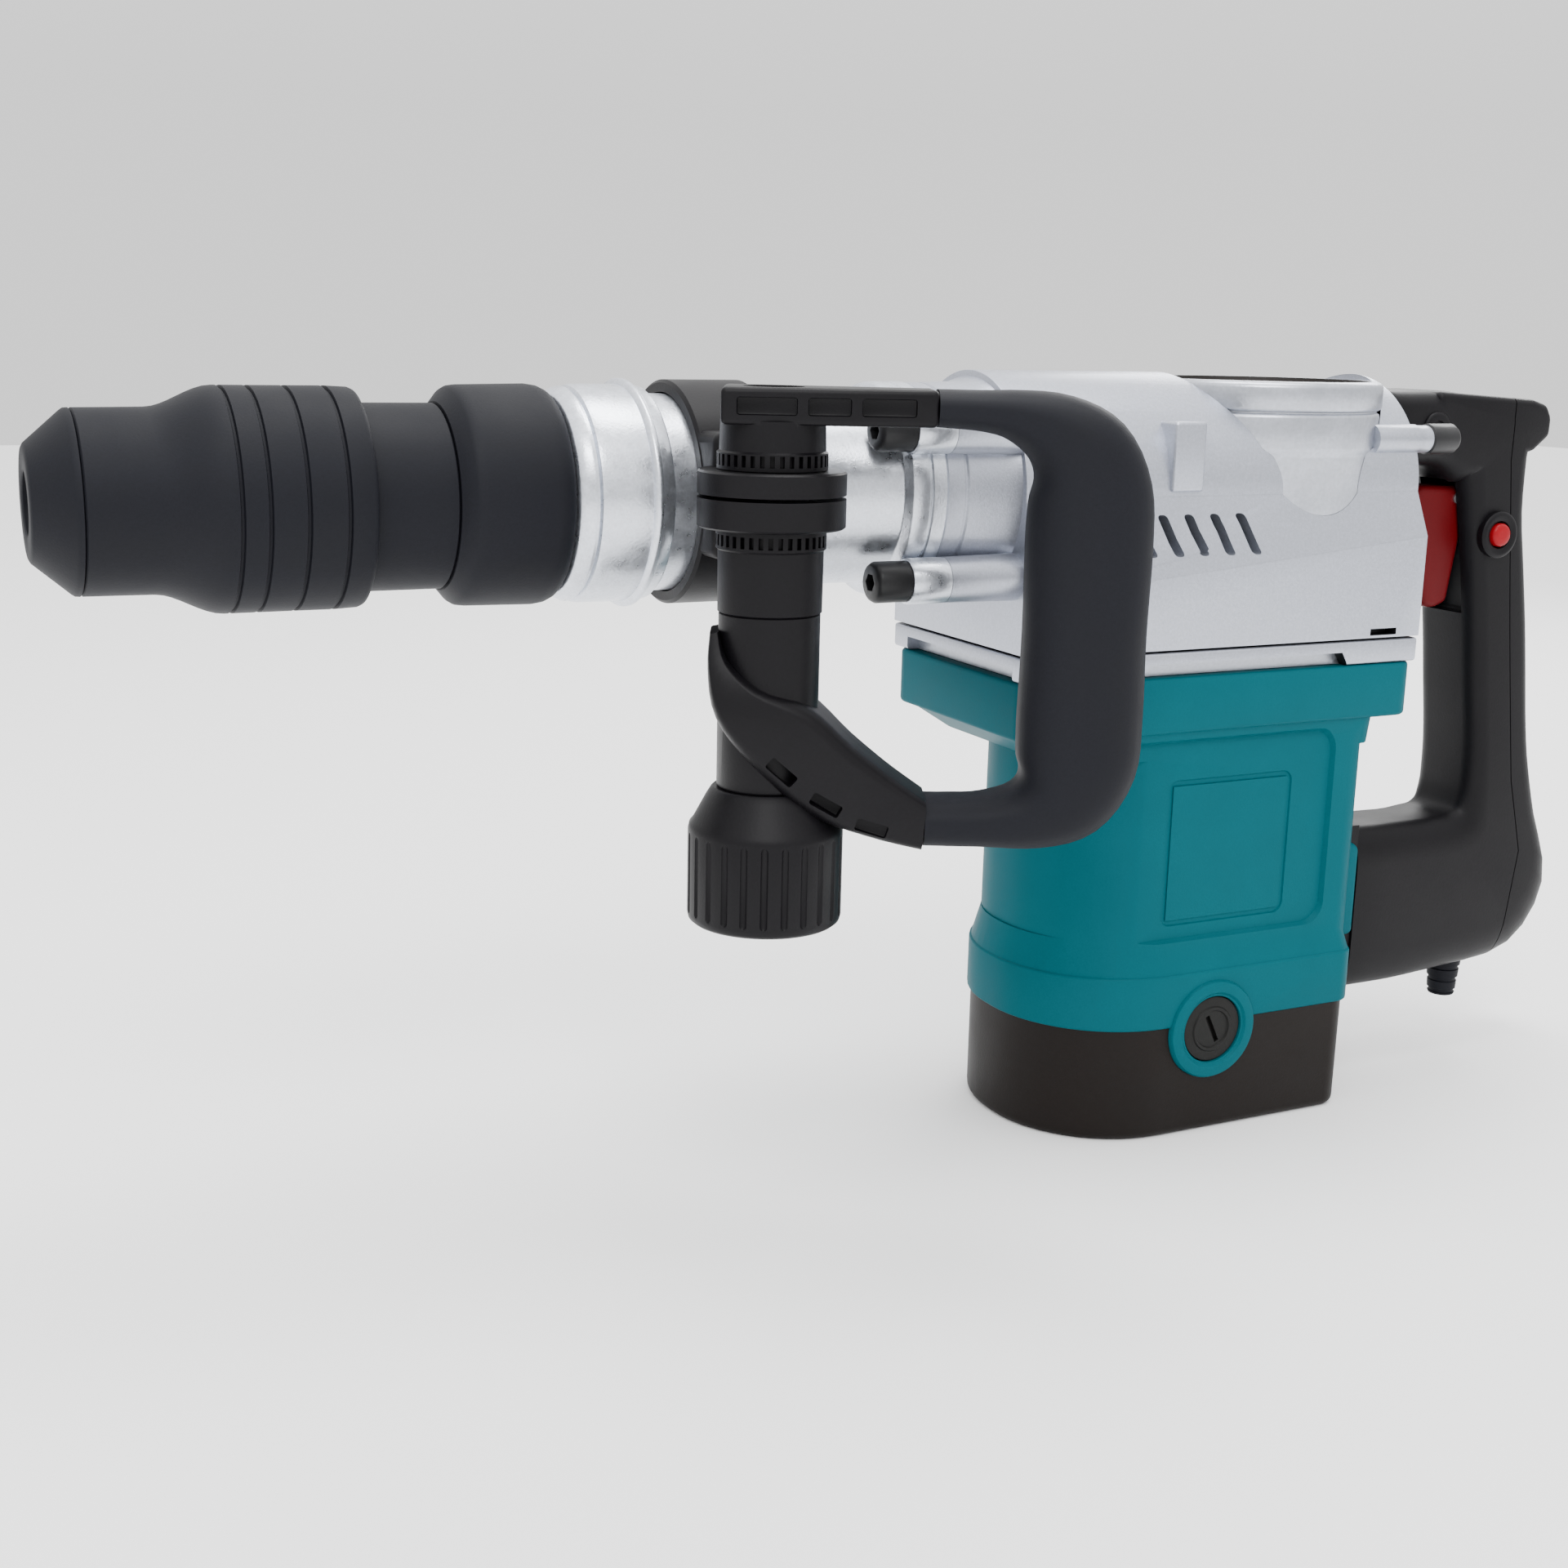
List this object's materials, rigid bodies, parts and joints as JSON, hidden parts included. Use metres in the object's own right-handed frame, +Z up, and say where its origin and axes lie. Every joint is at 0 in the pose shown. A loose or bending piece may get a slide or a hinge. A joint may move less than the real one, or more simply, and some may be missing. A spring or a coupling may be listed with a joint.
{
  "type": "rotary hammer",
  "caption": "Heavy two-hand rotary hammer: long barrel with a pull-back chuck sleeve, upright motor, crank cap, D-shaped rear handle with trigger, and a clamped swinging side handle.",
  "frame": {"origin": "centre of the tool bore at the front face of the nose", "axes": "+X along the barrel from the nose to the rear handle, +Z up from the motor to the crank cap, +Y by the right-hand rule"},
  "size_m": [0.582, 0.1659, 0.2715],
  "materials": {
    "rubber_black": "matte",
    "nylon_black": "satin",
    "teal_plastic": "satin",
    "cover_plastic": "satin",
    "silver_paint": "satin",
    "cast_aluminium": "cast",
    "steel": "machined",
    "gear_steel": "ground",
    "bearing_steel": "polished",
    "laminate_steel": "laminated",
    "copper": "enamelled copper wire",
    "carbon": "carbon",
    "brass": "drawn",
    "trigger_red": "satin",
    "button_red": "gloss",
    "bolt_black": "black oxide",
    "switch_plastic": "moulded",
    "brush_cap_plastic": "moulded",
    "fan_plastic": "moulded"
  },
  "bodies": {
    "housing": {"armature_bearings": "bearing_steel", "barrel_bolts": "bolt_black", "barrel_housing": "cast_aluminium", "bearing_bridge": "cast_aluminium", "bearing_plate": "cast_aluminium", "bottom_cover": "cover_plastic", "brush_caps": "brush_cap_plastic", "brush_holders": "brass", "carbon_brushes": "carbon", "collar_plug": "nylon_black", "cord_guard": "rubber_black", "countershaft_bearing": "bearing_steel", "crank_bearings": "bearing_steel", "crank_cap": "cast_aluminium", "crank_tower": "cast_aluminium", "field_coils": "copper", "field_core": "laminate_steel", "front_seal": "rubber_black", "gear_housing": "silver_paint", "handle_dampers": "rubber_black", "handle_joint_plates": "nylon_black", "lock_bezel": "nylon_black", "motor_end_plate": "cast_aluminium", "motor_housing": "teal_plastic", "rear_handle": "nylon_black", "rear_handle_cover": "nylon_black", "spindle_bearings": "bearing_steel", "switch_body": "switch_plastic", "trigger_pin": "steel"},
    "spindle": {"dust_cap": "rubber_black", "tool_holder": "steel", "locking_rollers": "bearing_steel", "neck_shroud": "rubber_black", "release_spring": "steel", "cylinder": "steel", "bevel_ring_gear": "gear_steel"},
    "sleeve": {"release_sleeve": "rubber_black"},
    "mode_ring": {"mode_ring": "rubber_black"},
    "crank": {"crankshaft": "gear_steel", "crank_gear": "gear_steel"},
    "armature": {"armature_shaft": "gear_steel", "armature_core": "laminate_steel", "armature_windings": "copper", "commutator": "copper", "cooling_fan": "fan_plastic"},
    "countershaft": {"countershaft": "gear_steel", "countershaft_gear": "gear_steel"},
    "piston": {"piston": "gear_steel", "wrist_pin": "bearing_steel"},
    "rod": {"connecting_rod": "gear_steel", "crank_pin": "bearing_steel"},
    "striker": {"striker": "gear_steel"},
    "impact_bolt": {"impact_bolt": "gear_steel"},
    "clamp": {"clamp_band": "nylon_black"},
    "side_handle": {"side_handle_frame": "nylon_black", "side_handle_grip": "rubber_black"},
    "knob": {"clamp_knob": "nylon_black", "clamp_bolt": "steel"},
    "trigger": {"trigger": "trigger_red"},
    "lock_button": {"lock_button": "button_red"}
  },
  "joints": [
    {"name": "crank_spin", "type": "hinge", "parent": "housing", "child": "crank", "pos_m": [0.425, 0, -0.03], "axis": [0, 0, 1], "continuous": true},
    {"name": "armature_spin", "type": "hinge", "parent": "housing", "child": "armature", "pos_m": [0.38812, 0, -0.12], "axis": [0, 0, 1], "continuous": true},
    {"name": "countershaft_spin", "type": "hinge", "parent": "housing", "child": "countershaft", "pos_m": [0.34937, 0, -0.045], "axis": [0, 0, 1], "continuous": true},
    {"name": "spindle_spin", "type": "hinge", "parent": "housing", "child": "spindle", "pos_m": [0.2, 0, 0], "axis": [1, 0, 0], "continuous": true},
    {"name": "sleeve_pull", "type": "slide", "parent": "spindle", "child": "sleeve", "axis": [1, 0, 0], "range_m": [0, 0.012], "stiffness_N_per_m": 1500},
    {"name": "mode_ring_turn", "type": "hinge", "parent": "housing", "child": "mode_ring", "pos_m": [0.134, 0, 0], "axis": [1, 0, 0], "range_deg": [0, 60]},
    {"name": "piston_stroke", "type": "slide", "parent": "housing", "child": "piston", "axis": [1, 0, 0], "range_m": [0, 0.028]},
    {"name": "rod_swing", "type": "hinge", "parent": "piston", "child": "rod", "pos_m": [0.356, 0, 0], "axis": [0, 0, 1], "range_deg": [-13, 13]},
    {"name": "striker_stroke", "type": "slide", "parent": "housing", "child": "striker", "axis": [1, 0, 0], "range_m": [-0.024, 0.004]},
    {"name": "impact_bolt_stroke", "type": "slide", "parent": "housing", "child": "impact_bolt", "axis": [1, 0, 0], "range_m": [-0.006, 0.003]},
    {"name": "clamp_turn", "type": "hinge", "parent": "housing", "child": "clamp", "pos_m": [0.204, 0, 0], "axis": [1, 0, 0], "range_deg": [-180, 10]},
    {"name": "side_handle_swing", "type": "hinge", "parent": "clamp", "child": "side_handle", "pos_m": [0.2038, -0.055, 0], "axis": [0, 0, 1], "range_deg": [-130, 8]},
    {"name": "knob_turn", "type": "hinge", "parent": "side_handle", "child": "knob", "pos_m": [0.2038, -0.055, -0.1], "axis": [0, 0, 1], "continuous": true},
    {"name": "trigger_pull", "type": "hinge", "parent": "housing", "child": "trigger", "pos_m": [0.519, 0, -0.007], "axis": [0, -1, 0], "range_deg": [0, 8], "stiffness_Nm_per_rad": 3},
    {"name": "lock_button_press", "type": "slide", "parent": "housing", "child": "lock_button", "axis": [0, 1, 0], "range_m": [0, 0.0025], "stiffness_N_per_m": 500}
  ],
  "couplings": [
    {"joint": "armature_spin", "follows": "crank_spin", "ratio": -4.9},
    {"joint": "countershaft_spin", "follows": "crank_spin", "ratio": 0.94231},
    {"joint": "spindle_spin", "follows": "crank_spin", "ratio": -0.23558}
  ]
}
